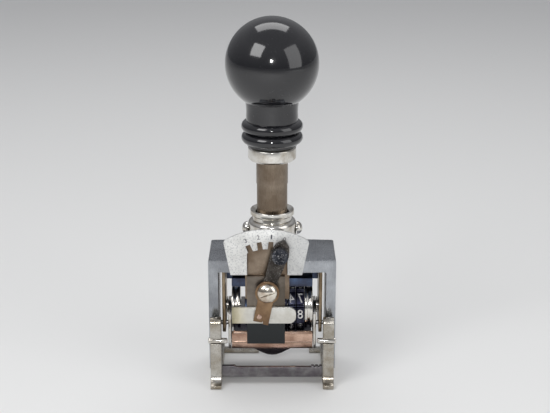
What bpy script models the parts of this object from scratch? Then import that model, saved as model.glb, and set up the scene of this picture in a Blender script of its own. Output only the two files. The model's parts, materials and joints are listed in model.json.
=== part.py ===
"""Self-inking numbering machine: an inverted-U frame on two feet, a sprung plunger that carries
the wheel carriage, a swinging ink pad and a repeat lever on a notched sector plate.

The front faces -Y, the wheel axle runs along X, and the plunger stands on +Z.
"""

from math import acos, atan2, cos, pi, radians, sin, sqrt

import bmesh
import bpy
from mathutils import Matrix

mm = 0.001
fit_gap = 0.3 * mm
overrun = 2.0 * mm
weld_distance = 0.005 * mm
edge_round = 0.25 * mm

# Stroke of the plunger and swing of what it drives
travel = 18.7 * mm
table_gap = 0.3 * mm
pad_swing = radians(115.0)
pawl_swing = radians(36.0)

# Number wheels and what shares their axle
wheel_count = 6
digit_count = 10
wheel_r = 11.5 * mm
wheel_width = 3.5 * mm
wheel_groove = 1.0 * mm
wheel_face_half_angle = radians(14.0)
wheel_groove_half_angle = radians(16.5)
axle_r = 2.0 * mm
ratchet_r = 9.5 * mm
ratchet_root_r = 7.6 * mm
ratchet_width = 3.3 * mm
first_wheel_x = -8.35 * mm
hub_r = 3.6 * mm
drum_r = 10.4 * mm
drum_groove = 1.2 * mm
drum_ribs = 2
axle_z = table_gap + travel + wheel_r

# Inverted-U frame
frame_half_width = 27.8 * mm
frame_depth = 29.0 * mm
frame_bow = 1.2 * mm
leg_thickness = 4.2 * mm
crown_top_z = 56.5 * mm
crown_thickness = 5.4 * mm
crown_corner_r = 0.8 * mm
crown_inner_r = 0.6 * mm

# Feet
foot_outer_x = 27.1 * mm
foot_thickness = 4.8 * mm
toe_y = -24.0 * mm
heel_y = 20.0 * mm
rail_height = 5.0 * mm
toe_height = 1.6 * mm
heel_height = 2.4 * mm
post_top_z = 31.6 * mm
post_thickness = 5.4 * mm
tab_thickness = 1.0 * mm
tab_length = 5.5 * mm
left_tab_reach = 15.9 * mm
right_tab_reach = 5.0 * mm

# Front bar between the feet
bar_thickness = 2.0 * mm
bar_bottom_z = 4.0 * mm
bar_height = 4.6 * mm
bar_shoulder_rise = 0.7 * mm
bar_shoulder_length = 5.5 * mm
bar_rib_width = 1.2 * mm

# Pins through the posts of the feet
foot_pin_r = 1.25 * mm
foot_pin_z = 21.2 * mm
foot_pin_reach = 5.6 * mm
foot_pin_proud = 1.0 * mm
foot_pin_depth = 1.1 * mm

# Plunger, its bush and its spring
tube_r = 6.9 * mm
tube_wall = 1.0 * mm
tube_socket = 6.3 * mm
bush_top_z = crown_top_z + 19.5 * mm
bush_flange_r = 12.0 * mm
bush_flange_height = 2.0 * mm
bush_body_r = 10.6 * mm
bush_neck_r = 8.6 * mm
bush_rim_r = 9.6 * mm
bush_rim_height = 2.2 * mm
bush_spigot_r = 9.0 * mm
cross_pin_r = 1.4 * mm
cross_pin_z = crown_top_z + 10.5 * mm
cross_head_r = 2.9 * mm
cross_head_length = 2.4 * mm
spring_wire_r = 0.55 * mm
spring_mean_r = 4.6 * mm
spring_turns = 9
spring_points_per_turn = 10
stud_r = 3.0 * mm
stud_height = 12.0 * mm

# Knob and ferrule
ball_r = 20.0 * mm
total_height = 160.4 * mm
neck_r = 11.5 * mm
neck_waist = 0.25 * mm
bead_r = 13.3 * mm
bead_height = 5.0 * mm
knob_bottom_z = 105.0 * mm
knob_step_height = 0.9 * mm
ferrule_r = 10.4 * mm
ferrule_height = 6.3 * mm
ferrule_chamfer = 0.9 * mm

# Carriage
side_plate_thickness = 1.4 * mm
side_plate_gap = 1.6 * mm
side_plate_depth = 22.0 * mm
side_plate_bottom_z = 20.5 * mm
side_plate_corner_r = 4.0 * mm
buffer_height = 1.9 * mm
bridge_thickness = 3.7 * mm
bridge_back_y = 5.6 * mm
bridge_front_y = -14.7 * mm
bridge_neck_y = -5.0 * mm
bridge_neck_half_width = 17.6 * mm
buffer_r = 11.0 * mm
detent_thickness = 0.8 * mm
detent_foot = 4.0 * mm

# Plates on the front of the carriage
window_plate_thickness = 0.9 * mm
window_plate_half_width = 9.6 * mm
window_plate_top_z = 67.0 * mm
front_layer_thickness = 1.2 * mm
front_plate_x = -2.7 * mm
front_plate_half_width = 8.3 * mm
front_plate_top_z = 50.6 * mm
front_plate_bottom_z = table_gap + travel
sector_x = -2.5 * mm
sector_bottom_z = 51.2 * mm
sector_foot_half_width = 15.5 * mm
sector_half_width = 18.5 * mm
sector_shoulder_z = 66.7 * mm
sector_top_z = 72.0 * mm
window_half_width = 8.7 * mm
notch_count = 4
notch_step = radians(13.3)
notch_width = 2.1 * mm
notch_depth = 3.4 * mm
notch_flare_share = 1.25
notch_tip_radius = 22.2 * mm

# Repeat lever, its screw and the bar that it shifts
pivot_x = -2.1 * mm
pivot_z = 44.3 * mm
lever_tilt = radians(17.6)
lever_thickness = 2.2 * mm
lever_hub_r = 4.7 * mm
lever_half_width = 3.5 * mm
lever_knob_distance = 18.2 * mm
lever_tip_distance = 24.4 * mm
lever_knob_r = 3.7 * mm
lever_knob_height = 3.4 * mm
knurl_teeth = 26
knurl_depth = 0.3 * mm
tail_thickness = 0.8 * mm
tail_ring_r = 5.3 * mm
tail_half_width = 3.4 * mm
tail_length = 14.0 * mm
tail_tilt = radians(11.5)
rivet_distance = 11.6 * mm
rivet_r = 0.7 * mm
screw_head_r = 4.4 * mm
screw_head_height = 2.4 * mm
screw_shank_r = 1.6 * mm
slot_width = 0.9 * mm
slot_depth = 1.0 * mm
repeat_bar_thickness = 1.4 * mm
repeat_bar_height = 7.5 * mm
repeat_bar_bottom_z = 29.3 * mm
repeat_bar_left_x = -17.5 * mm
repeat_bar_right_x = 10.4 * mm
repeat_bar_corner_r = 3.0 * mm
small_screw_r = 1.3 * mm
small_screw_height = 0.8 * mm

# Ink pad
pad_arm_thickness = 1.2 * mm
pad_arm_inner_x = 18.2 * mm
tray_front_y = -11.6 * mm
tray_back_y = 10.6 * mm
tray_wall = 0.9 * mm
tray_floor_z = 14.2 * mm
tray_front_top_z = 22.2 * mm
tray_back_top_z = 18.6 * mm
apron_side_z = 15.2 * mm
apron_middle_z = 10.9 * mm
apron_half_width = 12.4 * mm
felt_gap = 0.5 * mm
guide_pin_r = 1.0 * mm
guide_pin_orbit = 8.0 * mm
guide_pin_start = radians(-30.0)

# Pawl
pawl_arm_thickness = 1.6 * mm
pawl_pin_orbit = 12.6 * mm
pawl_pin_r = 0.9 * mm
pawl_start = radians(8.0)
pawl_thickness = 2.6 * mm
pawl_root_r = 1.9 * mm

# Places that follow from the sizes above
leg_inner_x = frame_half_width - leg_thickness
leg_bottom_z = rail_height + fit_gap
crown_bottom_z = crown_top_z - crown_thickness
bridge_top_z = crown_bottom_z - buffer_height - 2 * fit_gap
bridge_bottom_z = bridge_top_z - bridge_thickness
frame_front_y = -frame_depth / 2
foot_inner_x = foot_outer_x - foot_thickness
foot_middle_x = foot_outer_x - foot_thickness / 2
post_back_y = frame_front_y - fit_gap
post_front_y = post_back_y - post_thickness
post_middle_y = post_back_y - post_thickness / 2
foot_pin_y = post_front_y + foot_pin_depth
side_plate_outer_x = leg_inner_x - side_plate_gap
side_plate_inner_x = side_plate_outer_x - side_plate_thickness
window_plate_back_y = bridge_front_y - fit_gap
window_plate_front_y = window_plate_back_y - window_plate_thickness
front_layer_back_y = window_plate_front_y - fit_gap
front_layer_front_y = front_layer_back_y - front_layer_thickness
repeat_bar_back_y = front_layer_front_y - fit_gap
repeat_bar_front_y = repeat_bar_back_y - repeat_bar_thickness
lever_back_y = front_layer_front_y - fit_gap
lever_front_y = lever_back_y - lever_thickness
tail_back_y = lever_front_y - fit_gap
tail_front_y = tail_back_y - tail_thickness
centre_shift = -(toe_y + heel_y) / 2
ball_z = total_height - ball_r
tube_bottom_z = bridge_top_z + fit_gap
tube_top_z = knob_bottom_z + tube_socket
plug_bottom_z = knob_bottom_z - fit_gap
bar_back_y = front_layer_front_y - fit_gap
bar_middle_y = bar_back_y - bar_thickness / 2

# Turns that lay a flat outline in each plane
PLANE_TURNS = {
    "plan": (0.0, 0.0, 0.0),
    "front": (pi / 2, 0.0, 0.0),
    "side": (pi / 2, 0.0, pi / 2),
}


def clear_scene():
    for obj in list(bpy.data.objects):
        bpy.data.objects.remove(obj, do_unlink=True)


def make_collection(name):
    collection = bpy.data.collections.new(name)
    bpy.context.scene.collection.children.link(collection)
    return collection


def make_material(name, colour, metallic, roughness):
    material = bpy.data.materials.new(name)
    material.use_nodes = True
    shader = material.node_tree.nodes["Principled BSDF"]
    shader.inputs["Base Color"].default_value = (*colour, 1.0)
    shader.inputs["Metallic"].default_value = metallic
    shader.inputs["Roughness"].default_value = roughness
    return material


def make_empty(name, location, parent=None):
    empty = bpy.data.objects.new(name, None)
    parts.objects.link(empty)
    empty.location = location
    empty.parent = parent
    return empty


def add_object(name, data, finish, parent, location=(0.0, 0.0, 0.0), turn=(0.0, 0.0, 0.0)):
    """Link a piece, or a cutter where it has no finish."""
    obj = bpy.data.objects.new(name, data)
    if finish is None:
        cutters.objects.link(obj)
        obj.hide_render = True
        obj.display_type = "WIRE"
    else:
        parts.objects.link(obj)
        colour, metallic, roughness = finish
        data.materials.append(make_material(name, colour, metallic, roughness))
    obj.parent = parent
    obj.location = location
    obj.rotation_euler = turn
    return obj


def weld(obj):
    modifier = obj.modifiers.new("weld", "WELD")
    modifier.merge_threshold = weld_distance


def round_edges(obj, width, segments=1):
    modifier = obj.modifiers.new("rounded_edges", "BEVEL")
    modifier.width = width
    modifier.segments = segments
    modifier.limit_method = "ANGLE"
    modifier.angle_limit = radians(50.0)
    modifier.use_clamp_overlap = True


def combine(obj, other, operation="DIFFERENCE"):
    modifier = obj.modifiers.new(operation.lower() + "_" + other.name, "BOOLEAN")
    modifier.operation = operation
    modifier.solver = "EXACT"
    modifier.object = other


def arc(centre_u, centre_v, radius, start, end, count):
    """Points along an arc, both ends included."""
    steps = [start + (end - start) * i / (count - 1) for i in range(count)]
    return [(centre_u + radius * cos(a), centre_v + radius * sin(a)) for a in steps]


def ring(centre_u, centre_v, radius, count=20):
    return arc(centre_u, centre_v, radius, 0.0, 2 * pi * (count - 1) / count, count)


def box_outline(u0, v0, u1, v1):
    return [(u0, v0), (u1, v0), (u1, v1), (u0, v1)]


def flat(name, loops, plane, middle, thickness, finish, parent, rounding=0.0):
    """A flat outline with its holes, drawn about the parent's origin and given a thickness."""
    curve = bpy.data.curves.new(name, "CURVE")
    curve.dimensions = "2D"
    curve.fill_mode = "BOTH"
    curve.extrude = thickness / 2
    for loop in loops:
        spline = curve.splines.new("POLY")
        spline.points.add(len(loop) - 1)
        for point, (u, v) in zip(spline.points, loop):
            point.co = (u, v, 0.0, 1.0)
        spline.use_cyclic_u = True
    place = {"plan": (0.0, 0.0, middle), "front": (0.0, middle, 0.0), "side": (middle, 0.0, 0.0)}
    turn = PLANE_TURNS[plane]
    shape = bpy.data.objects.new(name + "_outline", curve)
    parts.objects.link(shape)
    mesh = bpy.data.meshes.new_from_object(shape.evaluated_get(bpy.context.evaluated_depsgraph_get()))
    bpy.data.objects.remove(shape, do_unlink=True)
    bm = bmesh.new()
    bm.from_mesh(mesh)
    bmesh.ops.remove_doubles(bm, verts=bm.verts[:], dist=weld_distance)
    bmesh.ops.recalc_face_normals(bm, faces=bm.faces[:])
    bm.to_mesh(mesh)
    bm.free()
    obj = add_object(name, mesh, finish, parent, place[plane], turn)
    if rounding:
        round_edges(obj, rounding)
    return obj


def turned(name, profile, finish, parent, at, axis="z", steps=28, closed=False):
    """A profile of (radius, height) pairs, outer side from top to bottom, spun about an axis."""
    mesh = bpy.data.meshes.new(name)
    edges = [(i, i + 1) for i in range(len(profile) - 1)]
    if closed:
        edges.append((len(profile) - 1, 0))
    mesh.from_pydata([(r, 0.0, h) for r, h in profile], edges, [])
    turns = {"z": (0.0, 0.0, 0.0), "x": (0.0, pi / 2, 0.0), "-y": (pi / 2, 0.0, 0.0)}
    obj = add_object(name, mesh, finish, parent, at, turns[axis])
    screw = obj.modifiers.new("turned", "SCREW")
    screw.steps = steps
    screw.render_steps = steps
    screw.use_merge_vertices = True
    screw.merge_threshold = weld_distance
    return obj


def rod(radius, low, high, chamfer):
    """Profile of a round rod with chamfered ends."""
    return [(0.0, high), (radius - chamfer, high), (radius, high - chamfer),
            (radius, low + chamfer), (radius - chamfer, low), (0.0, low)]


def plain_rod(radius, low, high):
    return [(0.0, high), (radius, high), (radius, low), (0.0, low)]


def sleeve(outer, inner, low, high, chamfer=0.0):
    """Profile of a round sleeve; its inner wall is plain."""
    if chamfer == 0.0:
        return [(outer, high), (outer, low), (inner, low), (inner, high)]
    return [(outer - chamfer, high), (outer, high - chamfer), (outer, low + chamfer),
            (outer - chamfer, low), (inner, low), (inner, high)]


def box_cutter(name, low, high, parent):
    bm = bmesh.new()
    bmesh.ops.create_cube(bm, size=1.0)
    size = [b - a for a, b in zip(low, high)]
    middle = [(a + b) / 2 for a, b in zip(low, high)]
    bm.transform(Matrix.Translation(middle) @ Matrix.Diagonal((*size, 1.0)))
    mesh = bpy.data.meshes.new(name)
    bm.to_mesh(mesh)
    bm.free()
    return add_object(name, mesh, None, parent)


steel = ((0.50, 0.51, 0.53), 1.0, 0.35)
dark_steel = ((0.16, 0.17, 0.19), 0.9, 0.45)
nickel = ((0.70, 0.68, 0.64), 1.0, 0.25)
worn_nickel = ((0.42, 0.38, 0.33), 1.0, 0.35)
brass = ((0.52, 0.40, 0.24), 1.0, 0.38)
black = ((0.012, 0.012, 0.014), 0.0, 0.15)
felt = ((0.03, 0.02, 0.07), 0.0, 0.95)
pale_metal = ((0.86, 0.86, 0.84), 0.6, 0.45)

clear_scene()
cutters = make_collection("cutters")
parts = make_collection("numbering_machine")
machine = make_empty("machine", (0.0, centre_shift, 0.0))
axle_line = make_empty("axle_line", (0.0, 0.0, axle_z), machine)
lever_pivot = make_empty("lever_pivot", (pivot_x, 0.0, pivot_z), machine)


def guide_path(count=16):
    """Where a guide pin runs in the frame as the plunger goes down and the pad swings back."""
    path = []
    for i in range(count):
        share = i / (count - 1)
        angle = guide_pin_start + pad_swing * share
        y = guide_pin_orbit * sin(angle)
        z = axle_z - travel * share - guide_pin_orbit * cos(angle)
        path.append((y, z))
    return path


def slot_along(path, half_width, end_points=5):
    """Outline of a slot of even width along a path, with round ends."""
    left, right, headings = [], [], []
    for i, (u, v) in enumerate(path):
        before = path[max(i - 1, 0)]
        after = path[min(i + 1, len(path) - 1)]
        heading = atan2(after[1] - before[1], after[0] - before[0])
        headings.append(heading)
        left.append((u - half_width * sin(heading), v + half_width * cos(heading)))
        right.append((u + half_width * sin(heading), v - half_width * cos(heading)))
    end = arc(*path[-1], half_width, headings[-1] + pi / 2, headings[-1] - pi / 2, end_points + 2)
    start = arc(*path[0], half_width, headings[0] - pi / 2, headings[0] - 3 * pi / 2, end_points + 2)
    return left + end[1:-1] + right[::-1] + start[1:-1]


def build_main_frame():
    w, t = frame_half_width, leg_thickness
    top_left = arc(-w + crown_corner_r, crown_top_z - crown_corner_r, crown_corner_r, pi, pi / 2, 4)
    top_right = arc(w - crown_corner_r, crown_top_z - crown_corner_r, crown_corner_r, pi / 2, 0.0, 4)
    in_x = w - t - crown_inner_r
    in_z = crown_bottom_z - crown_inner_r
    in_right = arc(in_x, in_z, crown_inner_r, 0.0, pi / 2, 4)
    in_left = arc(-in_x, in_z, crown_inner_r, pi / 2, pi, 4)
    outline = [(-w, leg_bottom_z)] + top_left + top_right + [(w, leg_bottom_z), (w - t, leg_bottom_z)]
    outline += in_right + in_left + [(-w + t, leg_bottom_z)]
    frame = flat("main_frame", [outline], "front", 0.0, frame_depth, steel, machine)
    bow_r = (w * w + frame_bow * frame_bow) / (2 * frame_bow)
    half_angle = atan2(w, bow_r - frame_bow)
    front = arc(0.0, frame_front_y + bow_r, bow_r, -pi / 2 - half_angle, -pi / 2 + half_angle, 13)
    back = [(u, -v) for u, v in front[::-1]]
    height = crown_top_z - leg_bottom_z
    bowed = flat("frame_plan", [front + back], "plan", leg_bottom_z + height / 2,
                 height + overrun, None, machine)
    combine(frame, bowed, "INTERSECT")
    bore = turned("crown_bore", plain_rod(bush_spigot_r + fit_gap, crown_bottom_z - overrun,
                                          crown_top_z + overrun), None, machine, (0.0, 0.0, 0.0))
    combine(frame, bore)
    cam = flat("cam_slot", [slot_along(guide_path(), guide_pin_r + fit_gap)], "side", 0.0,
               2 * (w + overrun), None, machine)
    combine(frame, cam)


def foot_outline():
    post_round = post_thickness / 2
    crest_z = post_top_z - post_round
    crest = arc(post_middle_y, crest_z, post_round, 0.0, pi, 9)
    groove_r = foot_pin_r + fit_gap
    mouth = acos(-foot_pin_depth / groove_r)
    groove = arc(foot_pin_y, foot_pin_z, groove_r, mouth, -mouth, 11)
    sweep_r = post_front_y - toe_y
    toe = arc(toe_y, toe_height + sweep_r, sweep_r, 0.0, -pi / 2, 6)
    rail_back = -frame_front_y + fit_gap
    heel = [(heel_y, 0.0), (heel_y, heel_height), (rail_back, rail_height)]
    return [(toe_y, 0.0)] + heel + [(post_back_y, rail_height)] + crest + groove + toe


def build_foot(side_name, sign, tab_reach):
    foot = flat(side_name + "_foot", [foot_outline()], "side", sign * foot_middle_x,
                foot_thickness, nickel, machine, edge_round)
    inner = sorted((sign * (foot_inner_x - tab_reach), sign * foot_middle_x))
    tab = box_cutter(side_name + "_tab", (inner[0], heel_y - tab_length, 0.0),
                     (inner[1], heel_y - edge_round * 2, tab_thickness), machine)
    combine(foot, tab, "UNION")
    low = foot_inner_x - foot_pin_reach / 2
    high = foot_outer_x + foot_pin_proud
    turned("foot_pin_" + side_name, rod(foot_pin_r, low, high, edge_round), nickel, machine,
           (0.0, foot_pin_y, foot_pin_z), "x", 14).rotation_euler = (0.0, sign * pi / 2, 0.0)


def build_front_bar():
    half = foot_inner_x - fit_gap
    base, top = bar_bottom_z, bar_bottom_z + bar_height
    rise = top + bar_shoulder_rise
    left = -half + bar_shoulder_length
    outline = [(-half, base), (half, base), (half, rise)]
    x = half - bar_rib_width
    for i in range(2):
        outline += [(x, rise), (x, top), (x - bar_rib_width / 2, top), (x - bar_rib_width / 2, rise)]
        x -= bar_rib_width * 1.5
    outline += [(x, rise), (x, top), (left + bar_shoulder_rise, top), (left, rise), (-half, rise)]
    flat("front_bar", [outline], "front", bar_middle_y, bar_thickness, steel, machine)


def build_bush():
    z0 = crown_top_z + fit_gap
    z1 = z0 + bush_flange_height
    rim_low = bush_top_z - bush_rim_height
    neck_low = rim_low - bush_rim_height
    bore = tube_r + fit_gap
    chamfer = edge_round * 2
    shoulder = arc(bush_neck_r, neck_low - bush_rim_height, bush_body_r - bush_neck_r, pi / 2, 0.0, 4)
    profile = [(bush_rim_r - chamfer, bush_top_z), (bush_rim_r, bush_top_z - chamfer), (bush_rim_r, rim_low),
               (bush_neck_r, rim_low - chamfer)] + shoulder
    profile += [(bush_body_r, z1), (bush_flange_r, z1 - chamfer), (bush_flange_r, z0),
                (bush_spigot_r, z0), (bush_spigot_r, crown_bottom_z), (bore, crown_bottom_z),
                (bore, bush_top_z)]
    bush = turned("guide_bush", profile, nickel, machine, (0.0, 0.0, 0.0), "z", 36, True)
    hole = turned("cross_hole", plain_rod(cross_pin_r + fit_gap, -bush_flange_r, bush_flange_r),
                  None, machine, (0.0, 0.0, cross_pin_z), "x", 14)
    combine(bush, hole)


def build_cross_pin():
    seat = bush_body_r + fit_gap
    head = arc(seat, 0.0, cross_head_r, pi / 2, 0.0, 5)
    crown = [(v, seat + (u - seat) * cross_head_length / cross_head_r) for u, v in head]
    half = crown[::-1] + [(cross_head_r, seat), (cross_pin_r, seat)]
    half[0] = (0.0, seat + cross_head_length)
    del half[-3]
    profile = half + [(r, -h) for r, h in half[::-1]]
    turned("cross_pin", profile, nickel, machine, (0.0, 0.0, cross_pin_z), "x", 16)


def build_return_spring():
    low = cross_pin_z + cross_pin_r + fit_gap + spring_wire_r
    high = plug_bottom_z - fit_gap - spring_wire_r
    curve = bpy.data.curves.new("return_spring", "CURVE")
    curve.dimensions = "3D"
    curve.bevel_depth = spring_wire_r
    curve.bevel_resolution = 1
    curve.use_fill_caps = True
    count = spring_turns * spring_points_per_turn + 1
    spline = curve.splines.new("POLY")
    spline.points.add(count - 1)
    for i, point in enumerate(spline.points):
        angle = 2 * pi * i / spring_points_per_turn
        height = low + (high - low) * i / (count - 1)
        point.co = (spring_mean_r * cos(angle), spring_mean_r * sin(angle), height, 1.0)
    weld(add_object("return_spring", curve, steel, machine))
    least = (high - low) / spring_turns - 2 * spring_wire_r
    print("spring: least gap between turns", round(least / mm, 2), "mm")


def build_knob():
    neck_top = ball_z - sqrt(ball_r ** 2 - neck_r ** 2)
    start = atan2(neck_top - ball_z, neck_r)
    ball = [(r, h) for r, h in arc(0.0, ball_z, ball_r, pi / 2, start, 22)]
    ball[0] = (0.0, ball_z + ball_r)
    step_top = knob_bottom_z + knob_step_height
    bead_r_small = bead_height / 2
    centre_r = bead_r - bead_r_small
    profile = list(ball)
    waist_z = (neck_top + step_top + 2 * bead_height) / 2
    profile.append((neck_r - neck_waist, waist_z))
    for i in (1, 0):
        middle = step_top + bead_height * (i + 0.5)
        bead = arc(centre_r, middle, bead_r_small, radians(75.0), radians(-75.0), 9)
        profile += bead
    socket = tube_r + fit_gap
    stud_bore = stud_r + fit_gap
    top = tube_top_z + fit_gap
    profile += [(centre_r, step_top), (centre_r, knob_bottom_z), (socket, knob_bottom_z), (socket, top),
                (stud_bore, top), (stud_bore, top + stud_height), (0.0, top + stud_height)]
    turned("knob", profile, black, machine, (0.0, 0.0, 0.0), "z", 40)


def build_plunger():
    inner = tube_r - tube_wall
    tube = turned("plunger_tube", sleeve(tube_r, inner, tube_bottom_z, tube_top_z), worn_nickel, machine,
                  (0.0, 0.0, 0.0), "z", 32, True)
    clear = cross_pin_r + fit_gap
    slot = box_cutter("tube_slot", (-tube_r - overrun, -clear, cross_pin_z - clear),
                      (tube_r + overrun, clear, cross_pin_z + travel + clear + fit_gap), machine)
    combine(tube, slot)
    low = knob_bottom_z - fit_gap - ferrule_height
    turned("knob_ferrule", sleeve(ferrule_r, tube_r + fit_gap, low, knob_bottom_z - fit_gap, ferrule_chamfer),
           nickel, machine, (0.0, 0.0, 0.0), "z", 36, True)
    plug_r = inner - fit_gap
    stud_top = tube_top_z + stud_height
    turned("knob_stud", [(0.0, stud_top), (stud_r - edge_round, stud_top), (stud_r, stud_top - edge_round),
                         (stud_r, tube_top_z), (plug_r, tube_top_z), (plug_r, plug_bottom_z),
                         (0.0, plug_bottom_z)], steel, machine, (0.0, 0.0, 0.0), "z", 20)
    turned("buffer_washer", sleeve(buffer_r, tube_r + fit_gap, tube_bottom_z, crown_bottom_z - fit_gap,
                                   edge_round), black, machine, (0.0, 0.0, 0.0), "z", 28, True)


def build_carriage_frame():
    reach = side_plate_inner_x - fit_gap
    neck = bridge_neck_half_width
    outline = [(-neck, bridge_front_y), (neck, bridge_front_y), (neck, bridge_neck_y), (reach, bridge_neck_y)]
    outline += [(reach, bridge_back_y), (-reach, bridge_back_y), (-reach, bridge_neck_y), (-neck, bridge_neck_y)]
    flat("carriage_bridge", [outline], "plan", bridge_bottom_z + bridge_thickness / 2, bridge_thickness,
         dark_steel, machine, edge_round)
    half = side_plate_depth / 2
    low = side_plate_bottom_z - axle_z
    high = crown_bottom_z - fit_gap - axle_z
    r = side_plate_corner_r
    plate = [(half, high), (-half, high)]
    plate += arc(-half + r, low + r, r, pi, 3 * pi / 2, 5) + arc(half - r, low + r, r, -pi / 2, 0.0, 5)
    middle = (side_plate_inner_x + side_plate_outer_x) / 2
    orbit = arc(0.0, 0.0, guide_pin_orbit, guide_pin_start - pi / 2, guide_pin_start + pad_swing - pi / 2, 15)
    for side_name, sign in (("left", -1), ("right", 1)):
        loops = [plate, ring(0.0, 0.0, axle_r + fit_gap), slot_along(orbit, guide_pin_r + fit_gap)]
        flat("side_plate_" + side_name, loops, "side", sign * middle, side_plate_thickness, brass, axle_line)
    turned("wheel_axle", rod(axle_r, -side_plate_outer_x, side_plate_outer_x, edge_round), steel, axle_line,
           (0.0, 0.0, 0.0), "x", 20)


def wheel_outline():
    points = []
    for i in range(digit_count):
        middle = 2 * pi * i / digit_count
        for r, offset in ((wheel_r - wheel_groove, -wheel_groove_half_angle), (wheel_r, -wheel_face_half_angle),
                          (wheel_r, wheel_face_half_angle), (wheel_r - wheel_groove, wheel_groove_half_angle)):
            points.append((r * cos(middle + offset), r * sin(middle + offset)))
    return points


def ratchet_outline():
    points = []
    for i in range(digit_count):
        start = 2 * pi * i / digit_count
        lean = radians(6.0)
        points.append((ratchet_root_r * cos(start), ratchet_root_r * sin(start)))
        points.append((ratchet_r * cos(start + lean), ratchet_r * sin(start + lean)))
        points.append((ratchet_r * cos(start + 2 * lean), ratchet_r * sin(start + 2 * lean)))
    return points


def build_wheels():
    bore = ring(0.0, 0.0, axle_r + fit_gap)
    pitch = wheel_width + fit_gap
    for i in range(wheel_count):
        middle = first_wheel_x + wheel_width / 2 + i * pitch
        flat("number_wheel_" + str(i + 1), [wheel_outline(), bore], "side", middle, wheel_width, steel, axle_line)
    middle = first_wheel_x - fit_gap - ratchet_width / 2
    flat("ratchet_wheel", [ratchet_outline(), bore], "side", middle, ratchet_width, nickel, axle_line)


def spacer(name, low, high):
    turned(name, sleeve(hub_r, axle_r + fit_gap, low, high), nickel, axle_line, (0.0, 0.0, 0.0), "x", 20, True)


def grooved_drum(name, low, high):
    """A spacer of nearly the wheels' size, with grooves turned between its ribs."""
    rib = (high - low) / (2 * drum_ribs - 1)
    profile = []
    for i in range(drum_ribs):
        top = high - 2 * i * rib
        profile += [(drum_r, top), (drum_r, top - rib)]
        if i < drum_ribs - 1:
            profile += [(drum_r - drum_groove, top - rib), (drum_r - drum_groove, top - 2 * rib)]
    profile += [(axle_r + fit_gap, low), (axle_r + fit_gap, high)]
    turned(name, profile, nickel, axle_line, (0.0, 0.0, 0.0), "x", 28, True)


def build_spacers():
    wheels_right = first_wheel_x + wheel_count * (wheel_width + fit_gap)
    arm_outer_x = pad_arm_inner_x + pad_arm_thickness
    grooved_drum("right_spacer", wheels_right, pad_arm_inner_x - fit_gap)
    spacer("right_collar", arm_outer_x + fit_gap, side_plate_inner_x - fit_gap)
    spacer("left_collar", -side_plate_inner_x + fit_gap, -arm_outer_x - fit_gap)
    grooved_drum("left_spacer", -pad_arm_inner_x + fit_gap, pawl_arm_low_x - fit_gap)


pawl_arm_high_x = first_wheel_x - fit_gap - ratchet_width - fit_gap
pawl_arm_low_x = pawl_arm_high_x - pawl_arm_thickness


def polar(radius, angle):
    """A point about the axle, the angle measured up from straight ahead."""
    return (-radius * cos(angle), radius * sin(angle))


def tapered_link(near, near_r, far, far_r, count=7):
    """Outline round two circles of unlike size."""
    heading = atan2(far[1] - near[1], far[0] - near[0])
    back = arc(*near, near_r, heading + pi / 2, heading + 3 * pi / 2, count)
    front = arc(*far, far_r, heading - pi / 2, heading + pi / 2, count)
    return back + front


def build_pawl():
    pin = polar(pawl_pin_orbit, pawl_start)
    loops = [tapered_link((0.0, 0.0), hub_r, pin, pawl_root_r, 9), ring(0.0, 0.0, axle_r + fit_gap, 16),
             ring(*pin, pawl_pin_r + fit_gap, 12)]
    middle = (pawl_arm_low_x + pawl_arm_high_x) / 2
    flat("pawl_arm", loops, "side", middle, pawl_arm_thickness, steel, axle_line)
    pawl_low = pawl_arm_high_x + fit_gap
    turned("pawl_pin", rod(pawl_pin_r, pawl_arm_low_x, pawl_low + pawl_thickness, 0.1 * mm), nickel, axle_line,
           (0.0, *pin), "x", 12)
    tip_r = ratchet_r + fit_gap
    outline = [polar(pawl_pin_orbit + pawl_root_r, pawl_start)]
    outline += [polar(pawl_pin_orbit + pawl_root_r / 2, pawl_start + radians(12.0)),
                polar(tip_r + pawl_root_r, pawl_start + radians(30.0)),
                polar(tip_r, pawl_start + radians(33.0)), polar(tip_r + pawl_pin_r / 2, pawl_start + radians(18.0)),
                polar(tip_r + pawl_pin_r, pawl_start + radians(4.0)),
                polar(pawl_pin_orbit - pawl_root_r, pawl_start - radians(4.0)),
                polar(pawl_pin_orbit, pawl_start - radians(9.0))]
    flat("drive_pawl", [outline, ring(*pin, pawl_pin_r + fit_gap, 12)], "side",
         pawl_low + pawl_thickness / 2, pawl_thickness, dark_steel, axle_line)


def build_detents():
    """Comb of spring fingers that bear on the wheels from behind, one for each wheel."""
    pitch = wheel_width + fit_gap
    finger = wheel_width - 2 * fit_gap
    reach = radians(118.0)
    tip = polar(wheel_r + fit_gap, reach)
    knee = polar(wheel_r + fit_gap + detent_thickness, reach)
    top = bridge_bottom_z - fit_gap - axle_z
    low = top - detent_thickness
    outline = [tip, knee, (bridge_back_y, low), (bridge_back_y, top), (bridge_back_y - detent_foot, top),
               (bridge_back_y - detent_foot, low)]
    width = wheel_count * pitch - fit_gap
    comb = flat("detent_comb", [outline], "side", first_wheel_x + width / 2, width, steel, axle_line)
    for i in range(1, wheel_count):
        edge = first_wheel_x + i * pitch - fit_gap / 2
        gap = (pitch - finger) / 2
        cutter = box_cutter("comb_gap_" + str(i), (edge - gap, -overrun, 0.0),
                            (edge + gap, bridge_back_y - edge_round, low), axle_line)
        combine(comb, cutter)


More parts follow.
